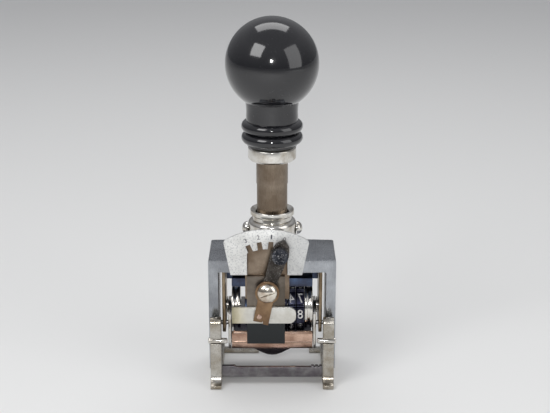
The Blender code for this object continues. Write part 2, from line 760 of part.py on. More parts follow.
def build_ink_pad():
    arm_middle = pad_arm_inner_x + pad_arm_thickness / 2
    low = tray_floor_z - axle_z
    front_top = tray_front_top_z - axle_z
    back_top = tray_back_top_z - axle_z
    shoulder = hub_r + edge_round
    arm = [(tray_front_y, low), (tray_back_y, low), (tray_back_y, back_top), (shoulder, 0.0)]
    arm += arc(0.0, 0.0, shoulder, 0.0, pi / 2, 5)[1:]
    arm += [(tray_front_y + shoulder, shoulder), (tray_front_y, 0.0)]
    pin = (guide_pin_orbit * sin(guide_pin_start), -guide_pin_orbit * cos(guide_pin_start))
    loops = [arm, ring(0.0, 0.0, axle_r + fit_gap), ring(*pin, guide_pin_r + fit_gap, 12)]
    for side_name, sign in (("left", -1), ("right", 1)):
        flat("pad_arm_" + side_name, loops, "side", sign * arm_middle, pad_arm_thickness, nickel, axle_line)
        turned("guide_pin_" + side_name, rod(guide_pin_r, pad_arm_inner_x, frame_half_width - fit_gap, 0.1 * mm),
               steel, axle_line, (0.0, *pin), "x", 12).rotation_euler = (0.0, sign * pi / 2, 0.0)
    half = pad_arm_inner_x - fit_gap
    floor = low + tray_wall
    front, back = tray_front_y, tray_back_y
    channel = [(front, low), (back, low), (back, back_top), (back - tray_wall, back_top),
               (back - tray_wall, floor), (front + tray_wall, floor), (front + tray_wall, front_top),
               (front, front_top)]
    tray = flat("pad_tray", [channel], "side", 0.0, 2 * half, brass, axle_line)
    side_z, middle_z = apron_side_z - axle_z, apron_middle_z - axle_z
    dip = side_z - middle_z
    wave = []
    for i in range(13):
        share = -1.0 + 2.0 * i / 12
        wave.append((apron_half_width * share, middle_z + dip * (1 - cos(pi * share)) / 2))
    edge = half - edge_round
    root = floor + tray_wall
    apron = [(-edge, side_z)] + wave + [(edge, side_z), (edge, root), (-edge, root)]
    lip = flat("apron", [apron], "front", front + tray_wall / 2, tray_wall - edge_round, None, axle_line)
    combine(tray, lip, "UNION")
    gap = fit_gap
    top = -wheel_r - felt_gap
    pad = box_outline(front + tray_wall + gap, floor + gap, back - tray_wall - gap, top)
    flat("ink_felt", [pad], "side", 0.0, 2 * (half - gap), felt, axle_line, edge_round)


def build_front_plates():
    hole = ring(pivot_x, pivot_z, screw_shank_r + fit_gap, 14)
    half = window_plate_half_width
    outline = box_outline(pivot_x - half, pivot_z - lever_hub_r, pivot_x + half, window_plate_top_z)
    flat("window_plate", [outline, hole], "front", (window_plate_back_y + window_plate_front_y) / 2,
         window_plate_thickness, brass, machine)
    half = front_plate_half_width
    outline = box_outline(front_plate_x - half, front_plate_bottom_z, front_plate_x + half, front_plate_top_z)
    flat("front_plate", [outline, hole], "front", (front_layer_back_y + front_layer_front_y) / 2,
         front_layer_thickness, steel, machine)
    layer_middle = (front_layer_back_y + front_layer_front_y) / 2
    flat("sector_plate", [sector_outline()], "front", layer_middle, front_layer_thickness, pale_metal, machine)


def sector_outline():
    """Arched plate with a window that is open below and notched along its arched top."""
    rise = sector_top_z - sector_shoulder_z
    half = sector_half_width
    radius = (half * half + rise * rise) / (2 * rise)
    spread = atan2(half, radius - rise)
    arch = arc(sector_x, sector_top_z - radius, radius, pi / 2 + spread, pi / 2 - spread, 15)
    foot = sector_foot_half_width
    outline = [(sector_x - foot, sector_bottom_z)] + arch + [(sector_x + foot, sector_bottom_z)]
    outline += [(pivot_x + window_half_width, sector_bottom_z)]
    teeth = []
    inner = notch_tip_radius - notch_depth
    width = notch_width / notch_tip_radius / 2
    for i in range(notch_count):
        angle = pi / 2 - lever_tilt + i * notch_step
        for r, offset in ((inner, -width * notch_flare_share), (notch_tip_radius, -width),
                          (notch_tip_radius, width), (inner, width * notch_flare_share)):
            teeth.append((pivot_x + r * cos(angle + offset), pivot_z + r * sin(angle + offset)))
    first, last = teeth[0], teeth[-1]
    left, right = pivot_x - window_half_width, pivot_x + window_half_width
    return outline + [(right, first[1])] + teeth + [(left, last[1]), (left, sector_bottom_z)]


def build_lever():
    """Black lever with its knurled knob, and the brass tail under the pivot screw."""
    tilt = lever_tilt
    up = (sin(tilt), cos(tilt))
    side = (cos(tilt), -sin(tilt))

    def at(along, across):
        return (along * up[0] + across * side[0], along * up[1] + across * side[1])

    wide = lever_half_width
    outline = arc(0.0, 0.0, lever_hub_r, pi - tilt + radians(35.0), 2 * pi - tilt - radians(35.0), 9)
    outline += [at(lever_hub_r * 1.3, wide * 0.82), at(lever_knob_distance, wide * 1.15),
                at(lever_knob_distance + lever_knob_r, wide * 0.85), at(lever_tip_distance, wide * 0.12),
                at(lever_tip_distance, -wide * 0.12), at(lever_knob_distance + lever_knob_r, -wide * 0.85),
                at(lever_knob_distance, -wide * 1.15), at(lever_hub_r * 1.3, -wide * 0.82)]
    hole = ring(0.0, 0.0, screw_shank_r + fit_gap, 14)
    flat("pointer_lever", [outline, hole], "front", (lever_back_y + lever_front_y) / 2, lever_thickness,
         dark_steel, lever_pivot, edge_round)
    knob = []
    centre = at(lever_knob_distance, 0.0)
    for i in range(knurl_teeth * 2):
        r = lever_knob_r - knurl_depth * (i % 2)
        angle = pi * i / knurl_teeth
        knob.append((centre[0] + r * cos(angle), centre[1] + r * sin(angle)))
    base = lever_front_y - fit_gap
    flat("lever_knob", [knob], "front", base - lever_knob_height / 2, lever_knob_height, dark_steel, lever_pivot)
    half = tail_half_width
    rivet = at(-rivet_distance, 0.0)
    tilt = tail_tilt
    up, side = (sin(tilt), cos(tilt)), (cos(tilt), -sin(tilt))
    spread = acos(half / tail_ring_r)
    ring_points = arc(0.0, 0.0, tail_ring_r, -tilt - spread, pi - tilt + spread, 15)
    end = [at(-tail_length, -half), at(-tail_length, half * 0.1), at(-tail_length * 0.94, half * 0.2),
           at(-tail_length * 1.05, half * 0.3), at(-tail_length * 1.05, half)]
    flat("lever_tail", [ring_points + end, hole, ring(*rivet, rivet_r + fit_gap, 10)], "front",
         (tail_back_y + tail_front_y) / 2, tail_thickness, brass, lever_pivot)
    reach = front_layer_front_y - fit_gap
    turned("tail_rivet", [(0.0, 0.0 - tail_front_y + rivet_r / 2), (rivet_r, -tail_front_y),
                          (rivet_r, -reach), (0.0, -reach)], brass, lever_pivot,
           (rivet[0], 0.0, rivet[1]), "-y", 12)


def build_lever_screw():
    seat = -tail_front_y + fit_gap
    dome = arc(0.0, 0.0, 1.0, pi / 2, 0.0, 7)
    profile = [(screw_head_r * u, seat + screw_head_height * v) for u, v in dome]
    profile[0] = (0.0, seat + screw_head_height)
    profile += [(screw_shank_r, seat), (screw_shank_r, -bridge_front_y + fit_gap),
                (0.0, -bridge_front_y + fit_gap)]
    screw = turned("lever_screw", profile, nickel, machine, (pivot_x, 0.0, pivot_z), "-y", 28)
    top = seat + screw_head_height
    slot = box_cutter("screw_slot", (-screw_head_r * 2, -top - overrun, -slot_width / 2),
                      (screw_head_r * 2, -top + slot_depth, slot_width / 2), machine)
    slot.location = (pivot_x, 0.0, pivot_z)
    slot.rotation_euler = (0.0, radians(-18.0), 0.0)
    combine(screw, slot)


def build_repeat_bar():
    low, high = repeat_bar_bottom_z, repeat_bar_bottom_z + repeat_bar_height
    corner = repeat_bar_corner_r
    right = arc(repeat_bar_right_x - corner, low + corner, corner, -pi / 2, 0.0, 5)
    right += arc(repeat_bar_right_x - corner, high - corner, corner, 0.0, pi / 2, 5)
    outline = [(repeat_bar_left_x, low)] + right + [(repeat_bar_left_x, high)]
    rivet_x = pivot_x - rivet_distance * sin(lever_tilt)
    half = rivet_r + fit_gap
    middle = pivot_z - rivet_distance * cos(lever_tilt)
    slot = box_outline(rivet_x - half, middle - half * 1.5, rivet_x + half, middle + half * 1.5)
    flat("repeat_bar", [outline, slot], "front", (repeat_bar_back_y + repeat_bar_front_y) / 2,
         repeat_bar_thickness, pale_metal, machine)


build_main_frame()
build_foot("left", -1, left_tab_reach)
build_foot("right", 1, right_tab_reach)
build_front_bar()
build_bush()
build_cross_pin()
build_return_spring()
build_knob()
build_plunger()
build_carriage_frame()
build_wheels()
build_spacers()
build_pawl()
build_detents()
build_ink_pad()
build_front_plates()
build_lever()
build_lever_screw()
build_repeat_bar()
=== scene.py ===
import json
from math import atan2, cos, pi, radians, sin, sqrt

import bmesh
import bpy
from mathutils import Matrix, Vector


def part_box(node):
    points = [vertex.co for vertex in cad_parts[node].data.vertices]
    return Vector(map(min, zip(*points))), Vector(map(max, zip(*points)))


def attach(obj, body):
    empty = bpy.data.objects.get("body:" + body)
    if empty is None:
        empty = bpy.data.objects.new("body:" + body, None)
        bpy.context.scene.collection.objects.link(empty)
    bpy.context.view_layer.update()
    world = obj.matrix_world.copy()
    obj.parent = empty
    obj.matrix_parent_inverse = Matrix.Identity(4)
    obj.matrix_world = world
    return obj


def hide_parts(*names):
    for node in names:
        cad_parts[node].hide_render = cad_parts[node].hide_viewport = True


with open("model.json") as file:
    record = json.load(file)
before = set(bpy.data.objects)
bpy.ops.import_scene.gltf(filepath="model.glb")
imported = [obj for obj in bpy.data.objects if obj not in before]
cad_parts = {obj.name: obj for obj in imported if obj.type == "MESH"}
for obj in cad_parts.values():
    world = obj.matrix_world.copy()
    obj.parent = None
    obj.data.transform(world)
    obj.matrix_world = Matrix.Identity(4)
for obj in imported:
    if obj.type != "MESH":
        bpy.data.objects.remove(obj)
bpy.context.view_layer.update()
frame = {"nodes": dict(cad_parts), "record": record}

# Table, studio and camera. The machine stands on a pale table under soft lamps, and a small
# lamp beside the lens gives the round highlight on the ball. The camera looks down a little,
# from in front, as the photograph does.
mm = 0.001


def node_of(tree, kind, **values):
    """A shader node with some of its settings and sockets filled."""
    node = tree.nodes.new(kind)
    for key, value in values.items():
        if hasattr(node, key):
            setattr(node, key, value)
        else:
            node.inputs[key.replace("_", " ")].default_value = value
    return node


def new_material(name, colour, metallic, roughness):
    material = bpy.data.materials.new(name)
    material.use_nodes = True
    shader = material.node_tree.nodes["Principled BSDF"]
    shader.inputs["Base Color"].default_value = (*colour, 1.0)
    shader.inputs["Metallic"].default_value = metallic
    shader.inputs["Roughness"].default_value = roughness
    return material


def stage_plane(name, centre, size, material):
    bm = bmesh.new()
    bmesh.ops.create_grid(bm, x_segments=1, y_segments=1, size=size)
    bm.transform(Matrix.Translation(centre))
    mesh = bpy.data.meshes.new(name)
    bm.to_mesh(mesh)
    bm.free()
    plane = bpy.data.objects.new(name, mesh)
    bpy.context.collection.objects.link(plane)
    mesh.materials.append(material)


paper_white = new_material("table_surface", (0.80, 0.80, 0.79), 0.0, 0.75)
table_drop, table_half = 0.2 * mm, 3.0
stage_plane("table", (0.0, 0.0, -table_drop), table_half, paper_white)


def lamp(name, place, aim, size, watts):
    light = bpy.data.lights.new(name, "AREA")
    light.shape = "RECTANGLE"
    light.size, light.size_y = size
    light.energy = watts
    obj = bpy.data.objects.new(name, light)
    bpy.context.collection.objects.link(obj)
    obj.location = place
    obj.rotation_euler = (Vector(aim) - Vector(place)).to_track_quat("-Z", "Y").to_euler()


middle_of_machine = (0.0, 0.0, 0.07)
lamp("key", (-0.55, -0.55, 0.75), middle_of_machine, (0.5, 0.5), 3.6)
lamp("fill", (0.75, -0.45, 0.45), middle_of_machine, (0.6, 0.8), 2.2)
lamp("top", (0.0, 0.35, 0.95), middle_of_machine, (0.8, 0.4), 2.6)
lamp("lens_lamp", (-0.01, -0.56, 0.31), middle_of_machine, (0.035, 0.035), 0.9)

world = bpy.data.worlds.new("studio")
world.use_nodes = True
bpy.context.scene.world = world
tree = world.node_tree
backdrop = tree.nodes["Background"]
coordinate = tree.nodes.new("ShaderNodeTexCoord")
split = tree.nodes.new("ShaderNodeSeparateXYZ")
ramp = tree.nodes.new("ShaderNodeValToRGB")
ramp.color_ramp.elements[0].position = 0.0
ramp.color_ramp.elements[0].color = (0.42, 0.43, 0.45, 1.0)
ramp.color_ramp.elements[1].position = 0.6
ramp.color_ramp.elements[1].color = (0.95, 0.96, 1.0, 1.0)
tree.links.new(coordinate.outputs["Generated"], split.inputs[0])
tree.links.new(split.outputs["Z"], ramp.inputs[0])
tree.links.new(ramp.outputs[0], backdrop.inputs["Color"])
backdrop.inputs["Strength"].default_value = 0.42

photo_width_px = 550
focal_px = 1244
sensor_mm = 36.0
camera_pitch = radians(18.0)
camera_data = bpy.data.cameras.new("camera")
camera_data.sensor_width = sensor_mm
camera_data.lens = focal_px / photo_width_px * sensor_mm
camera = bpy.data.objects.new("camera", camera_data)
bpy.context.collection.objects.link(camera)
camera.location = (0.00125, -0.517, 0.2454)
camera.rotation_euler = (pi / 2 - camera_pitch, 0.0, 0.0)
bpy.context.scene.camera = camera
bpy.context.scene.view_settings.view_transform = "Standard"

# Main frame. One bar of steel bent to an inverted U and nickel plated, with a bored crown for
# the bush and a cam slot in each leg. The plate is dulled to a cool grey and scratched by use.
bodies = frame["record"]["behaviour"]["bodies"]
body_of_node = {node: body for body, nodes in bodies.items() for node in nodes}


def metal(name, colour, tarnish, rough=(0.22, 0.42), patch=90.0, share=0.35, brush=(1.0, 1.0, 1.0),
          scratch=0.05, grain=0.0, pits=0.0):
    """Plated or bare metal: tarnish in patches, fine brushed scratches and, if asked, grain and pits."""
    material = new_material(name, colour, 1.0, rough[0])
    tree = material.node_tree
    shader = tree.nodes["Principled BSDF"]
    place = tree.nodes.new("ShaderNodeTexCoord")
    patches = node_of(tree, "ShaderNodeTexNoise", Scale=patch, Detail=5.0, Roughness=0.62)
    spread = node_of(tree, "ShaderNodeMapRange", From_Min=0.62 - share * 0.5, From_Max=0.78 - share * 0.25)
    blend = node_of(tree, "ShaderNodeMix", data_type="RGBA")
    blend.inputs[6].default_value = (*colour, 1.0)
    blend.inputs[7].default_value = (*tarnish, 1.0)
    turn = node_of(tree, "ShaderNodeMapping", Scale=brush)
    lines = node_of(tree, "ShaderNodeTexNoise", Scale=2600.0, Detail=3.0, Roughness=0.7)
    polish = node_of(tree, "ShaderNodeMapRange", From_Min=0.3, From_Max=0.7,
                     To_Min=rough[0], To_Max=rough[1])
    bump = node_of(tree, "ShaderNodeBump", Strength=scratch, Distance=0.0002)
    link = tree.links.new
    link(place.outputs["Object"], patches.inputs["Vector"])
    link(place.outputs["Object"], turn.inputs["Vector"])
    link(turn.outputs[0], lines.inputs["Vector"])
    link(patches.outputs[0], spread.inputs["Value"])
    link(spread.outputs[0], blend.inputs[0])
    link(lines.outputs[0], polish.inputs["Value"])
    link(polish.outputs[0], shader.inputs["Roughness"])
    link(lines.outputs[0], bump.inputs["Height"])
    link(bump.outputs[0], shader.inputs["Normal"])
    colour_out = blend.outputs[2]
    if pits:
        dots = node_of(tree, "ShaderNodeTexNoise", Scale=2100.0, Detail=2.0, Roughness=0.5)
        mask = node_of(tree, "ShaderNodeMapRange", From_Min=0.62, From_Max=0.72, To_Max=pits)
        darker = node_of(tree, "ShaderNodeMix", data_type="RGBA")
        darker.inputs[7].default_value = (*[c * 0.35 for c in tarnish], 1.0)
        link(place.outputs["Object"], dots.inputs["Vector"])
        link(dots.outputs[0], mask.inputs["Value"])
        link(mask.outputs[0], darker.inputs[0])
        link(colour_out, darker.inputs[6])
        colour_out = darker.outputs[2]
    if grain:
        sparkle = node_of(tree, "ShaderNodeTexVoronoi", Scale=2200.0)
        rough_bump = node_of(tree, "ShaderNodeBump", Strength=grain, Distance=0.0003)
        link(place.outputs["Object"], sparkle.inputs["Vector"])
        link(sparkle.outputs["Distance"], rough_bump.inputs["Height"])
        link(bump.outputs[0], rough_bump.inputs["Normal"])
        link(rough_bump.outputs[0], shader.inputs["Normal"])
    link(colour_out, shader.inputs["Base Color"])
    return material


def added_piece(bm, name, material, node):
    """Makes the object of a piece that rides with a CAD node."""
    mesh = bpy.data.meshes.new(name)
    bm.to_mesh(mesh)
    bm.free()
    mesh.materials.clear()
    mesh.materials.append(material)
    piece = bpy.data.objects.new(name, mesh)
    bpy.context.collection.objects.link(piece)
    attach(piece, body_of_node[node])
    return piece


def finish_piece(bm, name, material, node, smooth_angle=32.0):
    """Makes the object of a piece that stands for a CAD node."""
    piece = added_piece(bm, name, material, node)
    piece.data.shade_smooth()
    piece.data.set_sharp_from_angle(angle=radians(smooth_angle))
    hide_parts(node)
    return piece


def bevel_sharp(bm, width, segments, angle):
    edges = [e for e in bm.edges if len(e.link_faces) == 2 and e.calc_face_angle() > radians(angle)]
    bmesh.ops.bevel(bm, geom=edges, offset=width, offset_type="OFFSET", segments=segments, profile=0.5,
                    affect="EDGES", clamp_overlap=True, material=-1)


cad_weld, flat_angle = 0.004 * mm, radians(0.6)


def flats_of(node):
    """A copy of a CAD node, its loose triangles welded and joined to flats."""
    bm = bmesh.new()
    bm.from_mesh(frame["nodes"][node].data)
    bmesh.ops.remove_doubles(bm, verts=bm.verts[:], dist=cad_weld)
    bmesh.ops.dissolve_limit(bm, angle_limit=flat_angle, verts=bm.verts[:], edges=bm.edges[:])
    return bm


def dressed(node, material, width, segments=2, angle=40.0):
    """A finer copy of a CAD node, with its edges broken."""
    bm = flats_of(node)
    bevel_sharp(bm, width, segments, angle)
    finish_piece(bm, node + "_finished", material, node)


plate_grey = metal("dulled_plate", (0.44, 0.46, 0.49), (0.27, 0.28, 0.30), (0.20, 0.36), 70.0, 0.5,
                   (1.0, 1.0, 0.06), 0.06)
frame_edge = 0.35 * mm
dressed("main_frame", plate_grey, frame_edge, 3)

# Feet. Two cast feet, nickel plated, each with a post in front of its leg, a toe that sweeps
# forward and a flat tab behind. Handling has polished the sweep and browned the hollows.
foot_plate = metal("foot_plate", (0.56, 0.54, 0.50), (0.30, 0.26, 0.20), (0.18, 0.38), 110.0, 0.55,
                   (1.0, 1.0, 0.3), 0.07, 0.0, 0.25)
foot_edge = 0.3 * mm
for node in ("left_foot", "right_foot"):
    dressed(node, foot_plate, foot_edge, 2, 50.0)

# Front bar. A flat milled bar let in between the feet, thicker at its left shoulder and grooved
# at its right end, in bare steel that has gone dark along its face.
bar_metal = metal("bar_steel", (0.33, 0.32, 0.32), (0.13, 0.12, 0.13), (0.22, 0.45), 130.0, 0.8,
                  (0.05, 1.0, 1.0), 0.08, 0.0, 0.25)
bar_edge = 0.18 * mm
dressed("front_bar", bar_metal, bar_edge)

# Foot pins. Turned steel pins with domed ends, nickel plated and still bright. Each is pressed
# through the groove in the front of its post.
bright_nickel = metal("bright_nickel", (0.74, 0.72, 0.68), (0.42, 0.37, 0.30), (0.10, 0.24), 160.0, 0.35,
                      (1.0, 1.0, 1.0), 0.03)


turned_weld = 0.002 * mm


def turned(profile, steps, closed=False):
    """A closed mesh of (radius, height) pairs spun about the z axis."""
    bm = bmesh.new()
    verts = [bm.verts.new((r, 0.0, h)) for r, h in profile]
    edges = [bm.edges.new((a, b)) for a, b in zip(verts, verts[1:])]
    if closed:
        edges.append(bm.edges.new((verts[-1], verts[0])))
    bmesh.ops.spin(bm, geom=verts + edges, cent=(0.0, 0.0, 0.0), axis=(0.0, 0.0, 1.0), dvec=(0.0, 0.0, 0.0),
                   angle=2 * pi, steps=steps, use_merge=True, use_duplicate=False)
    bmesh.ops.remove_doubles(bm, verts=bm.verts[:], dist=turned_weld)
    bmesh.ops.recalc_face_normals(bm, faces=bm.faces[:])
    return bm


def spun(name, profile, centre, axis, material, node, edge=0.0, steps=96, closed=False, extra=None):
    """A turned piece about an axis through centre, with its edges broken if asked."""
    bm = turned(profile, steps, closed)
    if edge:
        bevel_sharp(bm, edge, 2, 24.0)
    turn = Vector((0.0, 0.0, 1.0)).rotation_difference(Vector(axis)).to_matrix().to_4x4()
    bm.transform(Matrix.Translation(centre) @ turn)
    if extra:
        extra(bm)
    finish_piece(bm, name, material, node)


def box_of(node):
    """The lowest corner, highest corner and middle of a CAD node."""
    low, high = (Vector(corner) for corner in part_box(node))
    return low, high, (low + high) / 2


dome, pin_edge = 0.35 * mm, 0.1 * mm
for pin in ("foot_pin_left", "foot_pin_right"):
    low, high, middle = box_of(pin)
    r = (high.z - low.z) / 2
    half = (high.x - low.x) / 2
    profile = [(0.0, half), (r * 0.6, half - dome * 0.25), (r, half - dome), (r, -half + dome),
               (r * 0.6, -half + dome * 0.25), (0.0, -half)]
    spun(pin + "_turned", profile, middle, (1.0, 0.0, 0.0), bright_nickel, pin, pin_edge, 40)

# Knob. Turned black ebonite: a ball, a waisted neck and two beads over a plain collar, polished
# all over and a little dusty. It is bored for the tube and for the stud that holds it.
def curve_points(centre, radius, start, end, count):
    """Points (radius, height) along an arc of a turned profile."""
    angles = [start + (end - start) * i / (count - 1) for i in range(count)]
    return [(centre[0] + radius * cos(a), centre[1] + radius * sin(a)) for a in angles]


def moulded(name, colour, rough, dust, dust_colour=(0.20, 0.20, 0.21), coat=0.0):
    """A polished or rubbed non-metal with specks of dust and slightly uneven gloss."""
    material = new_material(name, colour, 0.0, rough[0])
    tree = material.node_tree
    shader = tree.nodes["Principled BSDF"]
    place = tree.nodes.new("ShaderNodeTexCoord")
    smears = node_of(tree, "ShaderNodeTexNoise", Scale=140.0, Detail=4.0, Roughness=0.6)
    polish = node_of(tree, "ShaderNodeMapRange", From_Min=0.3, From_Max=0.75,
                     To_Min=rough[0], To_Max=rough[1])
    specks = node_of(tree, "ShaderNodeTexNoise", Scale=900.0, Detail=3.0, Roughness=0.55)
    mask = node_of(tree, "ShaderNodeMapRange", From_Min=0.68, From_Max=0.76, To_Max=dust)
    mix = node_of(tree, "ShaderNodeMix", data_type="RGBA")
    mix.inputs[6].default_value = (*colour, 1.0)
    mix.inputs[7].default_value = (*dust_colour, 1.0)
    link = tree.links.new
    link(place.outputs["Object"], smears.inputs["Vector"])
    link(place.outputs["Object"], specks.inputs["Vector"])
    link(smears.outputs[0], polish.inputs["Value"])
    link(polish.outputs[0], shader.inputs["Roughness"])
    link(specks.outputs[0], mask.inputs["Value"])
    link(mask.outputs[0], mix.inputs[0])
    link(mix.outputs[2], shader.inputs["Base Color"])
    shader.inputs["Coat Weight"].default_value = coat
    shader.inputs["Coat Roughness"].default_value = 0.05
    return material


ebonite = moulded("black_ebonite", (0.008, 0.008, 0.010), (0.07, 0.17), 0.35, coat=0.6)
low, high, middle = box_of("knob")
axis_y = middle.y
ball_r = 20.0 * mm
neck_r, neck_waist = 11.5 * mm, 0.35 * mm
bead_r, bead_height, collar_height = 13.3 * mm, 5.0 * mm, 0.9 * mm
tube_r, tube_socket, stud_r, stud_height = 6.9 * mm, 6.3 * mm, 3.0 * mm, 12.0 * mm
fit_gap = 0.3 * mm
ball_z = high.z - ball_r
neck_top = ball_z - sqrt(ball_r ** 2 - neck_r ** 2)
beads_low = low.z + collar_height
waist_z = (neck_top + beads_low + 2 * bead_height) / 2
bead_centre_r = bead_r - bead_height / 2
profile = curve_points((0.0, ball_z), ball_r, pi / 2, atan2(neck_top - ball_z, neck_r), 64)
profile[0] = (0.0, high.z)
profile += [(neck_r - neck_waist * 0.7, (neck_top + waist_z) / 2), (neck_r - neck_waist, waist_z),
            (neck_r - neck_waist * 0.8, (waist_z + beads_low + 2 * bead_height) / 2)]
for i in (1, 0):
    profile += curve_points((bead_centre_r, beads_low + bead_height * (i + 0.5)), bead_height / 2,
                            radians(82.0), radians(-82.0), 20)
socket_top = low.z + tube_socket + fit_gap
profile += [(bead_centre_r, beads_low), (bead_centre_r, low.z), (tube_r + fit_gap, low.z),
            (tube_r + fit_gap, socket_top), (stud_r + fit_gap, socket_top),
            (stud_r + fit_gap, socket_top + stud_height), (0.0, socket_top + stud_height)]
spun("knob_turned", profile, (0.0, axis_y, 0.0), (0.0, 0.0, 1.0), ebonite, "knob", 0.0, 128)

# Ferrule and stud. A nickel ring, chamfered top and bottom, closes the joint between the knob
# and the tube. The steel stud inside holds the two together.
ferrule_r, ferrule_chamfer, ferrule_edge = 10.4 * mm, 0.9 * mm, 0.16 * mm
low, high, middle = box_of("knob_ferrule")
profile = [(ferrule_r - ferrule_chamfer, high.z), (ferrule_r, high.z - ferrule_chamfer),
           (ferrule_r, low.z + ferrule_chamfer), (ferrule_r - ferrule_chamfer, low.z),
           (tube_r + fit_gap, low.z), (tube_r + fit_gap, high.z)]
spun("knob_ferrule_turned", profile, (0.0, axis_y, 0.0), (0.0, 0.0, 1.0), bright_nickel, "knob_ferrule",
     ferrule_edge, 112, True)


def keeps(node, material):
    """Gives a CAD node that stays as it is a finish of its own."""
    for mesh_slot in frame["nodes"][node].material_slots:
        mesh_slot.material = material


plain_steel = metal("plain_steel", (0.46, 0.46, 0.47), (0.22, 0.20, 0.19), (0.25, 0.42), 180.0, 0.5,
                    (1.0, 1.0, 0.2), 0.05)
keeps("knob_stud", plain_steel)
keeps("return_spring", plain_steel)

# Plunger tube. Drawn brass tube, once nickel plated. Years of sliding and handling have worn the
# plate through to a brown sheen with fine lines along it.
worn_tube = metal("worn_tube", (0.37, 0.31, 0.25), (0.17, 0.13, 0.095), (0.20, 0.36), 75.0, 0.95,
                  (1.0, 1.0, 0.025), 0.12)
tube_edge = 0.12 * mm
dressed("plunger_tube", worn_tube, tube_edge, 1, 50.0)

# Guide bush and cross pin. A turned nickel bush stands on the crown; its rim is dished where the
# tube comes through. A round-headed pin crosses the bush and carries the spring.
low, high, middle = box_of("guide_bush")
crown_top_z, crown_bottom_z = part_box("main_frame")[1][2], low.z
rim_r, neck_low_r, body_r, flange_r, spigot_r = 9.6 * mm, 8.6 * mm, 10.6 * mm, 12.0 * mm, 9.0 * mm
rim_height, flange_height, dish = 2.2 * mm, 2.0 * mm, 1.3 * mm
lip_r, lip_fall, neck_fall, flange_fall, bush_edge = 0.45 * mm, 0.25 * mm, 0.6 * mm, 0.5 * mm, 0.14 * mm
bore_r = tube_r + fit_gap
flange_low = crown_top_z + fit_gap
shoulder_z = high.z - 3 * rim_height
profile = [(bore_r, high.z - dish), (rim_r - 2 * lip_r, high.z - lip_fall)]
profile += curve_points((rim_r - lip_r, high.z - lip_r), lip_r, pi / 2, 0.0, 6)
profile += [(rim_r, high.z - rim_height), (neck_low_r, high.z - rim_height - neck_fall)]
profile += curve_points((neck_low_r, shoulder_z), body_r - neck_low_r, pi / 2, 0.0, 14)
profile += [(body_r, flange_low + flange_height), (flange_r, flange_low + flange_height - flange_fall),
            (flange_r, flange_low), (spigot_r, flange_low),
            (spigot_r, crown_bottom_z), (bore_r, crown_bottom_z)]
spun("guide_bush_turned", profile, (0.0, axis_y, 0.0), (0.0, 0.0, 1.0), bright_nickel, "guide_bush",
     bush_edge, 112, True)
low, high, middle = box_of("cross_pin")
pin_r, head_r, head_length = 1.4 * mm, (high.z - low.z) / 2, 2.4 * mm
seat = high.x - head_length
head = [(head_r * cos(a), seat + head_length * sin(a)) for a in [pi / 2 * (1 - i / 12) for i in range(13)]]
head[0] = (0.0, high.x)
profile = head + [(pin_r, seat)]
profile += [(r, -h) for r, h in profile[::-1]]
spun("cross_pin_turned", profile, (0.0, middle.y, middle.z), (1.0, 0.0, 0.0), bright_nickel, "cross_pin",
     0.0, 48)

# Buffer washer. A ring of black rubber, punched from sheet and slipped over the spigot under the
# crown. It stops the carriage on its way up.
soft_rubber = moulded("soft_rubber", (0.022, 0.021, 0.020), (0.55, 0.8), 0.5, (0.10, 0.095, 0.09))
washer_edge = 0.15 * mm
dressed("buffer_washer", soft_rubber, washer_edge)

# Carriage. A blued steel bridge joins two side plates, cut from sheet brass and worn bright on
# their front edges. They carry the axle, and the plates on the front are screwed to the bridge.
blued_steel = metal("blued_steel", (0.09, 0.13, 0.22), (0.05, 0.05, 0.07), (0.24, 0.45), 120.0, 0.6,
                    (0.05, 1.0, 1.0), 0.08)
bridge_edge, side_edge = 0.2 * mm, 0.18 * mm
dressed("carriage_bridge", blued_steel, bridge_edge)
aged_brass = metal("aged_brass", (0.47, 0.38, 0.27), (0.20, 0.145, 0.09), (0.22, 0.42), 95.0, 0.8,
                   (1.0, 1.0, 0.06), 0.10)
for node in ("side_plate_left", "side_plate_right"):
    dressed(node, aged_brass, side_edge)

# Axle, drums and collars. The axle is a steel rod. A grooved nickel drum stands at each end of
# the wheels, and a thin collar keeps each pad arm off its side plate.
small_edge = 0.1 * mm
for node, finish in (("wheel_axle", plain_steel), ("left_spacer", bright_nickel),
                     ("right_spacer", bright_nickel), ("left_collar", bright_nickel),
                     ("right_collar", bright_nickel)):
    dressed(node, finish, small_edge, 2, 50.0)

# Number wheels. Engraved steel wheels of ten flats, stained by blue-black ink. The figures stand
# up, turned about as on any stamp, and their tops are wiped bright.
inked_steel = metal("inked_steel", (0.085, 0.09, 0.13), (0.018, 0.018, 0.035), (0.28, 0.5), 210.0, 0.85,
                    (1.0, 1.0, 1.0), 0.10, 0.0, 0.5)
figure_metal = metal("figure_metal", (0.80, 0.79, 0.76), (0.16, 0.16, 0.22), (0.20, 0.38), 420.0, 0.25,
                     (1.0, 1.0, 1.0), 0.05)
wheel_names = sorted(node for node in frame["nodes"] if node.startswith("number_wheel_"))
face_count = 10
face_apothem = 11.16 * mm
figure_rise, figure_sink = 0.28 * mm, 0.15 * mm
wheel_edge = 0.14 * mm
figure_width, figure_height = 2.35 * mm, 4.2 * mm
shown_at_front = (4, 0, 7, 3, 5, 8)


